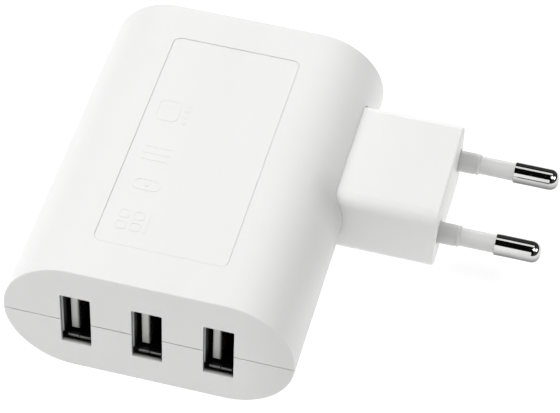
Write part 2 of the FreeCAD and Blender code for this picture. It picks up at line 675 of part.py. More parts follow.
def transformer_bobbin():
    """Plastic bobbin: square tube on the centre leg, two flanges and two rows of pins."""
    low, high = CORE.z + YOKE + 0.1, CORE.z + CORE_Z - YOKE - 0.1
    hole = standing_box(CORE.x, CORE.y, CENTRE_LEG, CORE_Y, CORE_Z, CORE.z)
    tube = standing_box(CORE.x, CORE.y, CENTRE_LEG + 1.6, CORE_Y + 1.6, high - low, low)
    flange_x = CORE_X - 2 * CORE_LEG - 0.4
    flanges = [standing_box(CORE.x, CORE.y, flange_x, 17.0, 0.9, level) for level in (low, high - 0.9)]
    shape = joined([tube] + flanges).cut(hole)
    feet = []
    for side in (-1, 1):
        foot = standing_box(CORE.x, CORE.y + side * 6.9, flange_x, 3.2, low - BOARD_TOP + 0.5, BOARD_TOP)
        feet.append(foot)
        feet += [lead(CORE.x + step * 2.8, CORE.y + side * 6.9, BOARD_TOP + 1) for step in (-2, -1, 0, 1, 2)]
    return joined([shape] + feet)


def winding_limits():
    low, high = CORE.z + YOKE + 1.0, CORE.z + CORE_Z - YOKE - 1.0
    return low, high


def transformer_winding():
    """Copper layers between the bobbin's flanges."""
    low, high = winding_limits()
    outer = standing_box(CORE.x, CORE.y, CENTRE_LEG + 5.6, CORE_Y + 6.6, high - low, low)
    inner = standing_box(CORE.x, CORE.y, CENTRE_LEG + 1.6, CORE_Y + 1.6, high - low, low)
    return outer.cut(inner)


def transformer_tape():
    """Insulating tape wound over the copper."""
    low, high = winding_limits()
    outer = standing_box(CORE.x, CORE.y, CENTRE_LEG + 6.6, CORE_Y + 7.8, high - low, low)
    inner = standing_box(CORE.x, CORE.y, CENTRE_LEG + 5.6, CORE_Y + 6.6, high - low, low)
    return outer.cut(inner)


# ---- power devices -------------------------------------------------------------------------
PLATE_X = 11.5
PLATE_THICK = 1.2
POWER_HOLE_Z = BOARD_TOP + 11.6


def heatsink(y, length, height, screw_y):
    """Aluminium plate standing on two tabs, with a screw hole."""
    base = BOARD_TOP + 1.0
    plate = bar((PLATE_X, PLATE_X + PLATE_THICK), (y, y + length), (base, base + height))
    tabs = [bar((PLATE_X, PLATE_X + PLATE_THICK), (edge, edge + 1.5),
                (BOARD_TOP - BOARD_THICK - LEAD_BELOW, base)) for edge in (y, y + length - 1.5)]
    hole = rod(1.25, 4 * PLATE_THICK, V(PLATE_X - 1, screw_y, POWER_HOLE_Z), V(1, 0, 0))
    return joined([plate] + tabs).cut(hole)


def power_device(y, side):
    """Flat three-lead power package; side is +1 or -1, its direction from the heatsink."""
    near = PLATE_X + PLATE_THICK if side > 0 else PLATE_X
    thin = sorted((near, near + side * 1.2))
    thick = sorted((near, near + side * 2.6))
    tab = bar(thin, (y - 3.6, y + 3.6), (BOARD_TOP + 3.2, BOARD_TOP + 13.6))
    body = bar(thick, (y - 3.6, y + 3.6), (BOARD_TOP + 2.6, BOARD_TOP + 9.2))
    lead_x = near + side * 1.4
    wires = [lead(lead_x, y + step * 2.3, BOARD_TOP + 4) for step in (-1, 0, 1)]
    hole = rod(1.25, 8, V(near - 4, y, POWER_HOLE_Z), V(1, 0, 0))
    return joined([tab, body] + wires).cut(hole)


def device_screw(y, side):
    """Pan-head screw and nut that clamp a power device to its heatsink."""
    outer = PLATE_X + PLATE_THICK + 1.2 if side > 0 else PLATE_X - 1.2
    back = PLATE_X if side > 0 else PLATE_X + PLATE_THICK
    direction = V(side, 0, 0)
    shank = rod(1.2, abs(outer - back) + 1.4, V(back - side * 1.4, y, POWER_HOLE_Z), direction)
    head = rod(2.0, 1.1, V(outer, y, POWER_HOLE_Z), direction)
    nut = Part.makePolygon([V(back, y + 2.3 * math.cos(turn), POWER_HOLE_Z + 2.3 * math.sin(turn))
                            for turn in [math.radians(60 * step) for step in range(7)]])
    nut = Part.Face(nut).extrude(V(-side * 1.4, 0, 0))
    slot = bar(sorted((outer + side * 0.6, outer + side * 1.4)), (y - 2.2, y + 2.2),
               (POWER_HOLE_Z - 0.25, POWER_HOLE_Z + 0.25))
    return joined([shank, head, nut]).cut(slot)


# ---- small parts ---------------------------------------------------------------------------
def optocoupler():
    x, y = -17.5, 0.0
    body = standing_box(x, y, 4.4, 6.2, 3.2, BOARD_TOP + 0.6)
    wires = [lead(x + side * 1.27, y + end * 3.4, BOARD_TOP + 2.2) for side in (-1, 1) for end in (-1, 1)]
    return joined([body] + wires)


def gull_wing_chip(cx, cy, size_x, size_y, height, per_side, above=True):
    """Surface-mount chip with a row of feet on its two Y sides."""
    base = BOARD_TOP if above else BOARD_TOP - BOARD_THICK - height
    body_base = base + 0.15 if above else base
    body = standing_box(cx, cy, size_x, size_y, height - 0.15, body_base)
    feet_base = base if above else BOARD_TOP - BOARD_THICK - 0.5
    feet = []
    for side in (-1, 1):
        for step in range(per_side):
            x = cx + (step - (per_side - 1) / 2) * 1.27
            feet.append(standing_box(x, cy + side * (size_y / 2 + 0.35), 0.42, 0.9, 0.5, feet_base))
    return joined([body] + feet)


def output_inductor():
    """Drum core with a wound waist, in one shrink sleeve."""
    x, y, base = -2.0, -12.5, BOARD_TOP + STANDOFF
    profile = [(0.0, 3.0), (1.2, 3.0), (1.8, 2.6), (7.2, 2.6), (7.8, 3.0), (9.0, 3.0)]
    body = turned(profile, V(0, 0, 0))
    body.rotate(V(0, 0, 0), V(0, 1, 0), -90)
    body.translate(V(x, y, base))
    return joined([body, lead(x - 1.5, y), lead(x + 1.5, y)])


def chip_row(places, size, above):
    """Group of identical two-terminal chips."""
    length, width, height = size
    base = BOARD_TOP if above else BOARD_TOP - BOARD_THICK - height
    return Part.makeCompound([standing_box(x, y, length, width, height, base) for x, y in places])


def insulation_sheet():
    """Thin card between the board's solder side and the bottom shell."""
    return bar((-13.5, 13.5), (-31.0, 30.0), (WALL, WALL + 0.4))


# ---- board ---------------------------------------------------------------------------------
def main_board(through_parts):
    """Circuit board with an isolation slot, relieved for every lead that passes through."""
    z = (BOARD_TOP - BOARD_THICK, BOARD_TOP)
    board = rounded_bar(BOARD_X, BOARD_Y, z, 1.5, V(0, 0, 1))
    through = (z[0] - 1, z[1] + 1)
    slot = rounded_bar((-19.0, -16.0), (-0.7, 0.7), through, 0.6, V(0, 0, 1))
    flange_y = flange_limits()[0]
    notch = bar((FLANGE_X - PLUG_NOTCH, BOARD_X[1] + 1),
                (flange_y[0] - PLUG_NOTCH, flange_y[1] + PLUG_NOTCH), through)
    return board.cut([slot, notch] + through_parts)


# ---- assembly ------------------------------------------------------------------------------
def build_plug(nodes):
    nodes["plug_block"] = plug_block()
    nodes["plug_retainer"] = plug_retainer()
    for name, centre in zip(("line", "neutral"), pin_centres()):
        nodes[name + "_pin"] = plug_pin(centre)
        nodes[name + "_pin_sleeve"] = pin_sleeve(centre)
        nodes[name + "_terminal"] = plug_terminal(centre)


def build_sockets(nodes):
    for index, centre in enumerate(PORT_X):
        number = "_" + str(index + 1)
        nodes["usb_shell" + number] = usb_shell(centre)
        nodes["usb_insulator" + number] = usb_insulator(centre)
        nodes["usb_contacts" + number] = usb_contacts(centre)
        nodes["usb_tails" + number] = usb_tails(centre)


def build_mains_side(nodes):
    nodes["fuse"] = fuse_link()
    nodes["varistor"] = disc_part(9.5, 25.0, 4.4, 4.0)
    nodes["inrush_thermistor"] = disc_part(9.5, 15.2, 3.8, 3.6)
    nodes["x_capacitor"] = x_capacitor()
    nodes["choke_core"] = choke_core()
    nodes["choke_windings"] = choke_windings()
    nodes["bridge_rectifier"] = bridge_rectifier()
    nodes["bulk_capacitor_1"] = can_capacitor(-13.6, 14.6, 4.9, 14.5, 5.0)
    nodes["bulk_capacitor_2"] = can_capacitor(-13.6, 25.0, 4.9, 14.5, 5.0)
    nodes["switching_transistor"] = power_device(4.2, 1)
    nodes["transistor_heatsink"] = heatsink(-1.5, 10.5, 14.0, 4.2)
    nodes["transistor_screw"] = device_screw(4.2, 1)
    nodes["pwm_controller"] = gull_wing_chip(CHOKE.x, CHOKE.y, 4.9, 3.9, 1.5, 4, above=False)


def build_transformer(nodes):
    nodes["transformer_core"] = transformer_core()
    nodes["transformer_bobbin"] = transformer_bobbin()
    nodes["transformer_winding"] = transformer_winding()
    nodes["transformer_tape"] = transformer_tape()
    nodes["y_capacitor"] = disc_part(8.9, -0.6, 3.2, 3.2)
    nodes["optocoupler"] = optocoupler()


def build_output_side(nodes):
    nodes["output_rectifier"] = power_device(-10.0, -1)
    nodes["rectifier_heatsink"] = heatsink(-15.3, 10.5, 14.0, -10.0)
    nodes["rectifier_screw"] = device_screw(-10.0, -1)
    nodes["output_capacitor_1"] = can_capacitor(-9.0, -13.0, 3.15, 11.0, 2.5)
    nodes["output_capacitor_2"] = can_capacitor(4.6, -13.0, 3.15, 11.0, 2.5)
    nodes["output_inductor"] = output_inductor()
    for index, place in enumerate([(-6.8, -26.0), (6.3, -28.0), (6.3, -22.5)]):
        nodes["port_controller_" + str(index + 1)] = gull_wing_chip(*place, 3.6, 2.8, 1.2, 3)
    resistors = [(-8.5 + 2.4 * step, -21.5) for step in range(2)] + [(-17.0, -9.0), (-17.0, -7.0)]
    nodes["smd_resistors"] = chip_row(resistors, (1.6, 0.8, 0.5), True)
    capacitors = [(-3.0 + 3.0 * step, 26.0) for step in range(2)] + [(13.8, 24.0), (-4.0, 3.0)]
    nodes["smd_capacitors"] = chip_row(capacitors, (2.0, 1.25, 1.0), False)


def build_all():
    nodes = {"top_shell": top_shell(), "bottom_shell": bottom_shell()}
    build_plug(nodes)
    build_sockets(nodes)
    build_mains_side(nodes)
    build_transformer(nodes)
    build_output_side(nodes)
    nodes["insulation_sheet"] = insulation_sheet()
    outside = ("top_shell", "bottom_shell", "plug_block", "plug_retainer", "insulation_sheet")
    through = [shape for name, shape in nodes.items() if name not in outside]
    nodes["main_board"] = main_board(through)
    return nodes


os.makedirs("parts", exist_ok=True)
for node, shape in build_all().items():
    shape.exportStep("parts/" + node + ".step")
    box = shape.BoundBox
    print(f"{node:24s} solids {len(shape.Solids):2d} valid {shape.isValid()} vol {shape.Volume:9.1f}"
          f"  x {box.XMin:7.2f} {box.XMax:7.2f}  y {box.YMin:7.2f} {box.YMax:7.2f}"
          f"  z {box.ZMin:6.2f} {box.ZMax:6.2f}")
for centre in PORT_X:
    pivot = contact_pivot(centre)
    print(f"contact hinge {pivot.x:.3f} {pivot.y:.3f} {pivot.z:.3f}, 0 to {CONTACT_TURN} degrees")
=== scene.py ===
import json
import math

import bmesh
import bpy
from mathutils import Matrix, Vector


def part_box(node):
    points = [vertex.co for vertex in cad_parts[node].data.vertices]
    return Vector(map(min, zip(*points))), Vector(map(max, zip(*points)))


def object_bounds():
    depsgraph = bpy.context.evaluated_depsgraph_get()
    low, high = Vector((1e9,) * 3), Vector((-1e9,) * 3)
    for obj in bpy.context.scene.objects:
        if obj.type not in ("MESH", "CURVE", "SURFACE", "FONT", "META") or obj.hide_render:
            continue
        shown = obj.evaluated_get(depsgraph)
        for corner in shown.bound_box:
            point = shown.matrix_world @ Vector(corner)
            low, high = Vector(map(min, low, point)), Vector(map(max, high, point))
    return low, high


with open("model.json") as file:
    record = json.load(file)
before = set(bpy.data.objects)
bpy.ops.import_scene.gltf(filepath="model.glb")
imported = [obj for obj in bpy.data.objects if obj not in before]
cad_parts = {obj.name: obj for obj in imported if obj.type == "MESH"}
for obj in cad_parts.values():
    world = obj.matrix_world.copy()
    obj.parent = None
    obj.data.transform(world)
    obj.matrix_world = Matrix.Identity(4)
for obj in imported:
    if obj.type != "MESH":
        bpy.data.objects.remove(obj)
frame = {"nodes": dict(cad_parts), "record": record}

CAD_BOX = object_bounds()
MM = 0.001

SHELL_LOW, SHELL_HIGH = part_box("bottom_shell")[0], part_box("top_shell")[1]
BODY_CENTRE = (SHELL_LOW + SHELL_HIGH) / 2
BLOCK_LOW, BLOCK_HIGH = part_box("plug_block")
PINS = ("line_pin", "neutral_pin")
BLACK, WHITE = (0.0, 0.0, 0.0), (1.0, 1.0, 1.0)

# ---- painted shade in the materials: where it lies, and the share of brightness that it takes away
EDGE_STEP = 0.05 * MM                # width of a soft border between two zones
MOUTH_REACH = 0.3 * MM               # the painted shade of the openings goes this far beyond the sockets
MOUTH_DEPTH = 0.9 * MM               # the painted shade on the openings' walls is at its darkest from here inwards
# share of brightness that the painted shade takes from the openings' walls
MOUTH_SHADE = 0.97
TONGUE_SIDE = (0.37, 0.46)           # border of the painted shade on the tongue's far side, as shares of a socket's width
TONGUE_SHADE = 0.93
SOCKET_EDGE = 1.2 * MM               # depth over which a socket's metal goes from a painted highlight at the front edge to painted shade inside
CORNER_REACH = 6.0 * MM              # painted contact shade on the body, to either side of the block's face
CORNER_X = (SHELL_HIGH.x - 6.2 * MM, SHELL_HIGH.x - 0.5 * MM)
# share of brightness that the painted contact shade takes away
CORNER_SHADE = 0.22
SIDE_X = (SHELL_HIGH.x - 9.7 * MM, SHELL_HIGH.x - 2.7 * MM)
SIDE_SHADE = 0.08                    # painted shade on the rounded side, from the block towards the sockets
ROOT_LENGTH = 4.0 * MM               # painted shade darkens the sleeves over this length towards the block
ROOT_SHADE = 0.12
PIN_FADE = 0.35                      # the painted shade fades in over this share of a pin's radius above and below its axis
PIN_SHADE = 0.8                      # painted shade underneath the pins

CREASE = math.radians(28)            # sharper edges than this stay hard
WAVE_PERIOD = 0.314                  # length of one turn of a wave texture whose scale is 1

# ---- camera: where it looks, and from where (degrees)
AIM = BODY_CENTRE + Vector((14.7, 1.3, 0.0)) * MM
VIEW_AZIMUTH = 12.57
VIEW_ELEVATION = 48.03
VIEW_ROLL = 2.57
VIEW_DISTANCE = 459.9 * MM
LENS, SENSOR = 160.4, 36.0
CLIP_NEAR, CLIP_FAR = 0.01, 10.0

# ---- studio lights: name, azimuth, elevation (degrees), width, height (mm), power (W)
LIGHT_DISTANCE = 700 * MM
SOFTBOXES = [
    ("overhead", 0, 81, 600, 375, 0.66),
    ("back_high", 180, 32, 560, 380, 0.60),
    ("back_low", 180, 14, 560, 200, 1.13),
    ("left_high", -90, 52, 420, 300, 2.65),
    ("front_left", -50, 30, 300, 300, 0.29),
    ("front_left_high", -55, 58, 300, 300, 0.55),
    ("front_right_high", 65, 58, 300, 300, 1.13),
    ("right_mid", 88, 32, 300, 200, 0.81),
]
HIDDEN_FROM_PINS = ("overhead", "back_high", "back_low")
PIN_CARDS = [                        # these shine on the pins alone
    ("pin_card_front", -9, 18, 300, 520, 0.64),
    ("pin_card_high", 180, 71, 600, 250, 0.55),
]
WORLD_LEVEL = 0.05
FLAG_EDGES = [                       # rise from the front horizon over the top (degrees), level
    (0, 1), (14, 1), (19, 0), (95, 0), (131, 0), (134, 1), (180, 1),
]
HALF_TURN = 180
FLAG_SIDES = (0.35, 0.6)             # the flags fade out between these shares to either side

FLOOR_COLOUR = (0.45, 0.45, 0.45)
FLOOR_GLOW = 0.709                   # keeps the floor evenly white
FLOOR_HALF = 1.5                     # half the floor's width
FLOOR_SEGMENTS = 8
FLOOR_GAP = 0.02 * MM


# ---- node helpers ----------------------------------------------------------------------------
class Graph:
    """A node tree under construction, with helpers that add one node each."""

    def __init__(self, tree, coordinates):
        self.nodes, self.links = tree.nodes, tree.links
        self.place = self.nodes.new("ShaderNodeTexCoord").outputs[coordinates]

    def axis(self, name):
        """One of the three coordinates."""
        parts = self.nodes.new("ShaderNodeSeparateXYZ")
        self.links.new(self.place, parts.inputs["Vector"])
        return parts.outputs[name]

    def between(self, value, low, high):
        """Factor that runs from 0 to 1 as a value runs from low to high."""
        node = self.nodes.new("ShaderNodeMapRange")
        node.inputs["From Min"].default_value = low
        node.inputs["From Max"].default_value = high
        self.links.new(value, node.inputs["Value"])
        return node.outputs["Result"]

    def along(self, axis, low, high):
        """Factor that runs from 0 to 1 between two places along an axis."""
        return self.between(self.axis(axis), low, high)

    def maths(self, operation, *values):
        """One Math node. Each value is a number or the output of another node."""
        node = self.nodes.new("ShaderNodeMath")
        node.operation = operation
        for socket, value in zip(node.inputs, values):
            if isinstance(value, (int, float)):
                socket.default_value = value
            else:
                self.links.new(value, socket)
        return node.outputs["Value"]

    def ramp(self, factor, stops):
        """Colour ramp through (position, colour) stops."""
        node = self.nodes.new("ShaderNodeValToRGB")
        elements = node.color_ramp.elements
        while len(elements) < len(stops):
            elements.new(0.5)
        for element, (position, colour) in zip(elements, stops):
            element.position = position
            element.color = (*colour, 1.0)
        self.links.new(factor, node.inputs["Fac"])
        return node.outputs["Color"]


class Material(Graph):
    """A node material under construction, in object coordinates."""

    def __init__(self, name, colour, roughness, metallic=0.0):
        self.data = bpy.data.materials.new(name)
        self.data.use_nodes = True
        super().__init__(self.data.node_tree, "Object")
        self.shader = self.nodes["Principled BSDF"]
        self.shader.inputs["Base Color"].default_value = (*colour, 1.0)
        self.shader.inputs["Roughness"].default_value = roughness
        self.shader.inputs["Metallic"].default_value = metallic
        self.height = None

    def set(self, **values):
        """Constants that go straight on the shader's own sockets."""
        for key, value in values.items():
            socket = key.replace("_", " ").title().replace("Ior", "IOR")
            self.shader.inputs[socket].default_value = value
        return self

    def stretched(self, scale):
        """Object coordinates scaled per axis, for grain that runs along one direction."""
        mapping = self.nodes.new("ShaderNodeMapping")
        mapping.inputs["Scale"].default_value = scale
        self.links.new(self.place, mapping.inputs["Vector"])
        return mapping.outputs["Vector"]

    def noise(self, size_mm, detail=2.0, rough=0.5, stretch=None, distortion=0.0):
        """Noise whose features are about size_mm across."""
        node = self.nodes.new("ShaderNodeTexNoise")
        node.inputs["Scale"].default_value = 1.0 / (size_mm * MM)
        node.inputs["Detail"].default_value = detail
        node.inputs["Roughness"].default_value = rough
        node.inputs["Distortion"].default_value = distortion
        place = self.stretched(stretch) if stretch else self.place
        self.links.new(place, node.inputs["Vector"])
        return node.outputs["Fac"]

    def cells(self, size_mm, feature="F1"):
        """Distance inside irregular cells about size_mm across."""
        node = self.nodes.new("ShaderNodeTexVoronoi")
        node.feature = feature
        node.inputs["Scale"].default_value = 1.0 / (size_mm * MM)
        self.links.new(self.place, node.inputs["Vector"])
        return node.outputs["Distance"]

    def waves(self, pitch_mm, axis, profile="SIN"):
        """Parallel ridges with this pitch along an axis."""
        node = self.nodes.new("ShaderNodeTexWave")
        node.wave_type = "BANDS"
        node.bands_direction = axis
        node.wave_profile = profile
        node.inputs["Scale"].default_value = WAVE_PERIOD / (pitch_mm * MM)
        self.links.new(self.place, node.inputs["Vector"])
        return node.outputs["Fac"]

    def within(self, low, high):
        """1 inside an upright box, 0 outside it."""
        inside = 1.0
        for axis, start, end in zip("XYZ", low, high):
            for edge, beyond in ((start, start + EDGE_STEP), (end, end - EDGE_STEP)):
                inside = self.maths("MULTIPLY", inside, self.along(axis, edge, beyond))
        return inside

    def paint_shade(self, factor, amount):
        """Paints shade: darkens the base colour by a share where the factor is 1."""
        colour = self.shader.inputs["Base Color"]
        left = 1 - amount
        node = self.nodes.new("ShaderNodeMix")
        node.data_type = "RGBA"
        node.blend_type = "MULTIPLY"
        self.links.new(factor, node.inputs["Factor"])
        self.links.new(colour.links[0].from_socket, node.inputs["A"])
        node.inputs["B"].default_value = (left, left, left, 1.0)
        self.links.new(node.outputs["Result"], colour)
        return self

    def spread(self, factor, low, high):
        """Factor 0..1 moved to low..high."""
        node = self.nodes.new("ShaderNodeMapRange")
        node.inputs["To Min"].default_value = low
        node.inputs["To Max"].default_value = high
        self.links.new(factor, node.inputs["Value"])
        return node.outputs["Result"]

    def colour_from(self, factor, stops):
        """Base colour from a ramp."""
        self.links.new(self.ramp(factor, stops), self.shader.inputs["Base Color"])
        return self

    def roughness_from(self, factor, low, high):
        """Roughness between low and high."""
        self.links.new(self.spread(factor, low, high), self.shader.inputs["Roughness"])
        return self

    def bump(self, factor, strength, depth_mm):
        """Adds relief; several calls stack."""
        node = self.nodes.new("ShaderNodeBump")
        node.inputs["Strength"].default_value = strength
        node.inputs["Distance"].default_value = depth_mm * MM
        self.links.new(factor, node.inputs["Height"])
        if self.height is not None:
            self.links.new(self.height, node.inputs["Normal"])
        self.height = node.outputs["Normal"]
        self.links.new(self.height, self.shader.inputs["Normal"])
        return self


def near(colour, amount):
    """The same colour, lighter or darker by a share."""
    return tuple(max(0.0, min(1.0, channel * (1 + amount))) for channel in colour)


# ---- materials, one function per family ------------------------------------------------------
def moulded_plastic(name, colour, roughness=0.42, grain=0.16, translucent=0.12):
    """Satin plastic from a spark-eroded mould: fine grain, faint flow marks, slight waviness."""
    made = Material(name, colour, roughness)
    made.set(subsurface_weight=translucent, subsurface_scale=0.6 * MM, specular_ior_level=0.45)
    made.shader.inputs["Subsurface Radius"].default_value = (1.0, 0.95, 0.9)
    flow = made.noise(14.0, detail=3.0, stretch=(1.0, 0.35, 1.0), distortion=0.4)
    made.colour_from(flow, [(0.35, near(colour, -0.012)), (0.65, near(colour, 0.008))])
    made.roughness_from(made.noise(2.2, detail=4.0), roughness - 0.05, roughness + 0.06)
    made.bump(made.noise(grain, detail=3.0, rough=0.6), 0.35, 0.012)
    made.bump(made.noise(6.0, detail=1.0), 0.12, 0.05)
    return made


def plated_metal(name, colour, roughness, draw=(0.25, 1.0, 1.0)):
    """Plated metal with fine drawing lines along one axis and faint handling marks."""
    made = Material(name, colour, roughness, metallic=1.0)
    lines = made.noise(0.09, detail=2.0, stretch=draw)
    marks = made.noise(0.5, detail=5.0, rough=0.65)
    made.roughness_from(marks, roughness * 0.7, roughness * 1.5)
    made.colour_from(made.noise(3.0, detail=3.0), [(0.3, near(colour, -0.05)), (0.7, near(colour, 0.04))])
    made.bump(lines, 0.10, 0.004)
    return made


def pin_metal(name, colour):
    """Nickel plate of the pins: mirror bright on top, with painted shade that darkens the underside."""
    made = plated_metal(name, colour, 0.08)
    low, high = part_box(PINS[0])
    middle = (low.z + high.z) / 2
    fade = PIN_FADE * (high.z - low.z) / 2
    return made.paint_shade(made.along("Z", middle + fade, middle - fade), PIN_SHADE)


def sleeve_plastic(name, colour):
    """Insulating sleeves, a little darker at the root in the block: painted shade."""
    made = moulded_plastic(name, colour, 0.36, grain=0.10)
    return made.paint_shade(made.along("X", BLOCK_HIGH.x + ROOT_LENGTH, BLOCK_HIGH.x), ROOT_SHADE)


def dipped_epoxy(name, colour):
    """Glossy dip coat: soft lumps and pinholes."""
    made = Material(name, colour, 0.22)
    made.set(coat_weight=0.5, coat_roughness=0.12)
    made.colour_from(made.noise(1.4, detail=3.0), [(0.3, near(colour, -0.15)), (0.75, near(colour, 0.12))])
    made.bump(made.noise(1.1, detail=1.0), 0.4, 0.12)
    made.bump(made.cells(0.35), 0.1, 0.02)
    return made


def sleeve_film(name, colour, band):
    """Heat-shrunk film with one pale vertical band that repeats round the can."""
    made = Material(name, colour, 0.3)
    made.set(coat_weight=0.3, coat_roughness=0.2)
    stripe = made.waves(9.8, "X", "SAW")
    made.colour_from(stripe, [(0.0, band), (0.16, band), (0.17, colour), (1.0, near(colour, 0.2))])
    made.roughness_from(made.noise(1.0, detail=3.0), 0.24, 0.38)
    made.bump(made.noise(0.9, detail=2.0, stretch=(1.0, 1.0, 0.3)), 0.25, 0.03)
    return made


def copper_wire(name, colour, pitch, axis):
    """Enamelled wire lying in even turns, with painted shade in the grooves between turns and a painted
    highlight on their crowns.
    """
    made = Material(name, colour, 0.28, metallic=0.85)
    made.set(coat_weight=0.6, coat_roughness=0.08)
    turns = made.waves(pitch, axis)
    made.colour_from(turns, [(0.0, near(colour, -0.55)), (0.45, near(colour, -0.05)),
                             (1.0, near(colour, 0.2))])
    made.roughness_from(made.noise(0.5), 0.2, 0.36)
    made.bump(turns, 0.8, 0.1)
    return made


def sintered(name, colour):
    """Ferrite or ceramic: dull, finely speckled, slightly pitted."""
    made = Material(name, colour, 0.55)
    specks = [(0.0, near(colour, -0.3)), (0.5, colour), (1.0, near(colour, 0.5))]
    made.colour_from(made.cells(0.12), specks)
    made.roughness_from(made.noise(0.8, detail=4.0), 0.45, 0.68)
    made.bump(made.cells(0.3), 0.3, 0.02)
    made.bump(made.noise(0.1, detail=3.0), 0.25, 0.01)
    return made


def solder_mask(name, colour):
    """Green laminate: a net of copper tracks shows through the mask, over a fine weave."""
    made = Material(name, colour, 0.3)
    made.set(coat_weight=0.35, coat_roughness=0.15)
    tracks = made.cells(3.2, "DISTANCE_TO_EDGE")
    made.colour_from(tracks, [(0.0, near(colour, 0.9)), (0.09, near(colour, 0.7)),
                              (0.11, colour), (1.0, near(colour, -0.15))])
    made.roughness_from(made.noise(0.6, detail=3.0), 0.24, 0.4)
    made.bump(tracks, 0.2, 0.03)
    made.bump(made.waves(0.4, "X"), 0.06, 0.01)
    made.bump(made.waves(0.4, "Y"), 0.06, 0.01)
    return made


def wound_tape(name, colour):
    """Overlapping turns of polyester tape with a low lustre."""
    made = Material(name, colour, 0.25)
    made.set(coat_weight=0.4, coat_roughness=0.1)
    made.colour_from(made.noise(2.0, detail=3.0), [(0.3, near(colour, -0.18)), (0.7, near(colour, 0.08))])
    made.roughness_from(made.noise(0.7, detail=3.0), 0.18, 0.34)
    made.bump(made.waves(2.6, "Z", "SAW"), 0.3, 0.04)
    made.bump(made.noise(1.5, detail=2.0), 0.3, 0.05)
    return made


def fibre_card(name, colour):
    """Matte pressed card with short fibres."""
    made = Material(name, colour, 0.85)
    fibres = made.noise(0.5, detail=6.0, stretch=(0.3, 1.0, 1.0))
    made.colour_from(fibres, [(0.3, near(colour, -0.15)), (0.7, near(colour, 0.1))])
    made.roughness_from(made.noise(0.9), 0.75, 0.92)
    made.bump(made.noise(0.25, detail=5.0, stretch=(0.4, 1.0, 1.0)), 0.4, 0.02)
    return made


def dark_moulding(name, colour, roughness=0.5):
    """Black moulding compound of chips and bobbins: very fine grain, faint gate marks."""
    made = Material(name, colour, roughness)
    made.colour_from(made.noise(0.7, detail=4.0), [(0.3, near(colour, -0.2)), (0.7, near(colour, 0.35))])
    made.roughness_from(made.noise(0.4, detail=4.0), roughness - 0.1, roughness + 0.12)
    made.bump(made.noise(0.08, detail=3.0), 0.3, 0.008)
    return made


def paint_mouth_shade(made):
    """Painted shade: the walls of the socket openings darken inwards."""
    low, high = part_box("usb_shell_1")[0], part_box("usb_shell_3")[1]
    face = SHELL_LOW.y
    mouths = made.within((low.x - MOUTH_REACH, face + EDGE_STEP, low.z - MOUTH_REACH),
                         (high.x + MOUTH_REACH, high.y, high.z + MOUTH_REACH))
    inward = made.along("Y", face, face + MOUTH_DEPTH)
    made.paint_shade(made.maths("MULTIPLY", mouths, inward), MOUTH_SHADE)


def paint_block_contact_shade(made):
    """Painted contact shade where the block leaves the body, and a fainter painted shade over the rounded
    side.
    """
    corner = made.maths("MULTIPLY", made.along("Y", BLOCK_LOW.y - CORNER_REACH, BLOCK_LOW.y),
                        made.along("Y", BLOCK_LOW.y + CORNER_REACH, BLOCK_LOW.y))
    made.paint_shade(made.maths("MULTIPLY", corner, made.along("X", *CORNER_X)), CORNER_SHADE)
    front = made.along("Y", (BLOCK_LOW.y + BLOCK_HIGH.y) / 2, BLOCK_LOW.y)
    made.paint_shade(made.maths("MULTIPLY", front, made.along("X", *SIDE_X)), SIDE_SHADE)


def housing_plastic(name, colour):
    """The shells' plastic, with painted shade round the openings and beside the block."""
    made = moulded_plastic(name, colour)
    paint_mouth_shade(made)
    paint_block_contact_shade(made)
    return made


def socket_metal(name, bright, inside_shade_colour):
    """Tin-plated sheet of a socket: a painted highlight along the front edge, painted shade that makes it
    near black inside.
    """
    made = Material(name, inside_shade_colour, 0.4, metallic=1.0)
    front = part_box("usb_shell_1")[0].y
    edge = made.along("Y", front, front + SOCKET_EDGE)
    made.colour_from(edge, [(0.0, bright), (0.12, bright), (0.3, near(inside_shade_colour, 0.5)), (1.0, inside_shade_colour)])
    # the painted highlight at the front edge is white and not metallic
    metallic_past_highlight = made.ramp(edge, [(0.0, BLACK), (0.1, BLACK), (0.2, WHITE)])
    made.links.new(metallic_past_highlight, made.shader.inputs["Metallic"])
    made.roughness_from(made.noise(0.5, detail=4.0), 0.28, 0.5)
    made.bump(made.noise(0.09, detail=2.0, stretch=(1.0, 0.25, 1.0)), 0.1, 0.004)
    return made


def socket_plastic(name, colour, deep):
    """Moulded nylon of a socket's tongue, with painted shade towards the rear block and on its far side.
    """
    made = moulded_plastic(name, colour, 0.33, grain=0.08, translucent=0.0)
    low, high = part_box("usb_insulator_1")
    depth = made.along("Y", low.y, high.y)
    made.colour_from(depth, [(0.0, colour), (0.08, near(colour, -0.05)), (0.4, deep), (1.0, deep)])
    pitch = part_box("usb_insulator_2")[0].x - low.x
    sockets_along = made.maths("DIVIDE", made.maths("SUBTRACT", made.axis("X"), low.x), pitch)
    width = (high.x - low.x) / pitch
    across = made.maths("FRACT", sockets_along)
    side = made.between(across, TONGUE_SIDE[0] * width, TONGUE_SIDE[1] * width)
    return made.paint_shade(side, TONGUE_SHADE)


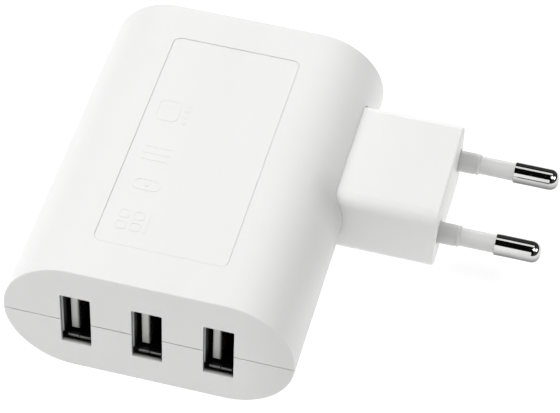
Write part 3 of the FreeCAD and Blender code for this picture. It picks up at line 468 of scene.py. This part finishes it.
def build_materials():
    """Every material slot of the record, by name."""
    return {
        "housing_white": housing_plastic("housing_white", (0.86, 0.86, 0.855)),
        "block_white": moulded_plastic("block_white", (0.855, 0.855, 0.85), 0.38),
        "sleeve_grey": sleeve_plastic("sleeve_grey", (0.67, 0.67, 0.66)),
        "retainer_white": moulded_plastic("retainer_white", (0.72, 0.72, 0.70), 0.5),
        # the tongue goes to this near black towards the rear block: painted shade
        "insulator_white": socket_plastic("insulator_white", (0.90, 0.90, 0.88), (0.03, 0.03, 0.03)),
        "pin_nickel": pin_metal("pin_nickel", (0.62, 0.618, 0.61)),
        # near white painted highlight on the front edge, near black painted shade inside
        "socket_steel": socket_metal("socket_steel", (0.95, 0.95, 0.95), (0.055, 0.055, 0.058)),
        "terminal_brass": plated_metal("terminal_brass", (0.78, 0.60, 0.30), 0.28, draw=(1.0, 1.0, 0.25)),
        # dark colour for the contacts: painted shade, as they sit deep in the sockets
        "contact_gold": plated_metal("contact_gold", (0.20, 0.16, 0.10), 0.34, draw=(1.0, 0.25, 1.0)),
        "polymer_can": plated_metal("polymer_can", (0.70, 0.71, 0.73), 0.30, draw=(1.0, 1.0, 0.3)),
        "heatsink_alloy": plated_metal("heatsink_alloy", (0.66, 0.67, 0.68), 0.36, draw=(1.0, 0.25, 1.0)),
        "screw_steel": plated_metal("screw_steel", (0.54, 0.54, 0.56), 0.26),
        "varistor_blue": dipped_epoxy("varistor_blue", (0.05, 0.13, 0.42)),
        "thermistor_green": dipped_epoxy("thermistor_green", (0.07, 0.20, 0.11)),
        "disc_blue": dipped_epoxy("disc_blue", (0.06, 0.20, 0.50)),
        "film_yellow": moulded_plastic("film_yellow", (0.78, 0.55, 0.06), 0.34, grain=0.2),
        "can_sleeve": sleeve_film("can_sleeve", (0.03, 0.035, 0.07), (0.55, 0.56, 0.58)),
        "winding_copper": copper_wire("winding_copper", (0.62, 0.26, 0.09), 0.55, "Z"),
        "ferrite_black": sintered("ferrite_black", (0.06, 0.06, 0.065)),
        "fuse_glass": sintered("fuse_glass", (0.80, 0.78, 0.72)),
        "chip_tan": sintered("chip_tan", (0.46, 0.36, 0.22)),
        "resistor_black": sintered("resistor_black", (0.07, 0.07, 0.07)),
        "board_green": solder_mask("board_green", (0.008, 0.07, 0.022)),
        "tape_yellow": wound_tape("tape_yellow", (0.80, 0.58, 0.08)),
        "card_grey": fibre_card("card_grey", (0.52, 0.54, 0.50)),
        "device_black": dark_moulding("device_black", (0.02, 0.02, 0.022)),
        "bobbin_black": dark_moulding("bobbin_black", (0.04, 0.04, 0.04), 0.42),
        "shrink_black": dark_moulding("shrink_black", (0.03, 0.03, 0.035), 0.35),
    }


def dress_cad_nodes(materials):
    """Gives each CAD node its material and smooth shading up to a crease."""
    slots = {part["node"]: part["material_slot"] for part in frame["record"]["subparts"]}
    for name, node in frame["nodes"].items():
        node.data.materials.clear()
        node.data.materials.append(materials[slots[name]].data)
        node.data.shade_smooth()
        node.data.set_sharp_from_angle(angle=CREASE)


# ---- studio ----------------------------------------------------------------------------------
def direction(azimuth, elevation):
    """Unit vector from the object towards a place seen at this azimuth and elevation."""
    turn, rise = math.radians(azimuth), math.radians(elevation)
    return Vector((math.sin(turn) * math.cos(rise), -math.cos(turn) * math.cos(rise), math.sin(rise)))


def make_camera():
    """Long lens, a little rolled, without shift or depth of field."""
    data = bpy.data.cameras.new("camera")
    data.lens = LENS
    data.sensor_width = SENSOR
    data.clip_start, data.clip_end = CLIP_NEAR, CLIP_FAR
    camera = bpy.data.objects.new("camera", data)
    towards = direction(VIEW_AZIMUTH, VIEW_ELEVATION)
    camera.location = AIM + towards * VIEW_DISTANCE
    level = (-towards).to_track_quat("-Z", "Y").to_matrix()
    roll = Matrix.Rotation(math.radians(VIEW_ROLL), 3, "Z")
    camera.rotation_mode = "QUATERNION"
    camera.rotation_quaternion = (level @ roll).to_quaternion()
    bpy.context.scene.collection.objects.link(camera)
    bpy.context.scene.camera = camera


def make_softbox(name, azimuth, elevation, width, height, power):
    """Rectangular area light that faces the body."""
    data = bpy.data.lights.new(name, "AREA")
    data.shape = "RECTANGLE"
    data.size, data.size_y = width * MM, height * MM
    data.energy = power
    light = bpy.data.objects.new(name, data)
    light.location = BODY_CENTRE + direction(azimuth, elevation) * LIGHT_DISTANCE
    light.rotation_mode = "QUATERNION"
    light.rotation_quaternion = (BODY_CENTRE - light.location).to_track_quat("-Z", "Y")
    bpy.context.scene.collection.objects.link(light)
    return light


def link_pins(light, state):
    """Lets a light shine on the pins only, or on everything but the pins."""
    targets = bpy.data.collections.new(light.name + "_targets")
    for name in PINS:
        targets.objects.link(frame["nodes"][name])
    light.light_linking.receiver_collection = targets
    for target in targets.collection_objects:
        target.light_linking.link_state = state


def make_world():
    """Even grey room. Dark flags stand over the front and over the back, so metal shows streaks."""
    world = bpy.data.worlds.new("studio")
    world.use_nodes = True
    graph = Graph(world.node_tree, "Generated")
    rise = graph.maths("ARCTAN2", graph.axis("Z"), graph.maths("MULTIPLY", graph.axis("Y"), -1.0))
    stops = [(degrees / HALF_TURN, (level, level, level)) for degrees, level in FLAG_EDGES]
    flags = graph.ramp(graph.between(rise, 0.0, math.pi), stops)
    aside = graph.between(graph.maths("ABSOLUTE", graph.axis("X")), *FLAG_SIDES)
    mixed = graph.maths("MAXIMUM", flags, aside)
    background = graph.nodes["Background"]
    background.inputs["Color"].default_value = (*WHITE, 1.0)
    graph.links.new(graph.maths("MULTIPLY", mixed, WORLD_LEVEL), background.inputs["Strength"])
    bpy.context.scene.world = world


def make_floor():
    """Large flat pale floor just under the charger."""
    mesh = bpy.data.meshes.new("floor")
    shape = bmesh.new()
    bmesh.ops.create_grid(
        shape, x_segments=FLOOR_SEGMENTS, y_segments=FLOOR_SEGMENTS, size=FLOOR_HALF)
    shape.to_mesh(mesh)
    shape.free()
    floor = bpy.data.objects.new("floor", mesh)
    floor.location = (AIM.x, AIM.y, CAD_BOX[0].z - FLOOR_GAP)
    bpy.context.scene.collection.objects.link(floor)
    made = Material("floor_white", FLOOR_COLOUR, 0.7)
    made.set(emission_strength=FLOOR_GLOW)
    made.shader.inputs["Emission Color"].default_value = (*WHITE, 1.0)
    made.roughness_from(made.noise(30.0), 0.65, 0.75)
    mesh.materials.append(made.data)


def make_studio():
    """World, floor and lights."""
    bpy.context.scene.view_settings.view_transform = "Standard"
    make_world()
    make_floor()
    for softbox in SOFTBOXES:
        light = make_softbox(*softbox)
        if softbox[0] in HIDDEN_FROM_PINS:
            link_pins(light, "EXCLUDE")
    for card in PIN_CARDS:
        link_pins(make_softbox(*card), "INCLUDE")


dress_cad_nodes(build_materials())
make_studio()
make_camera()
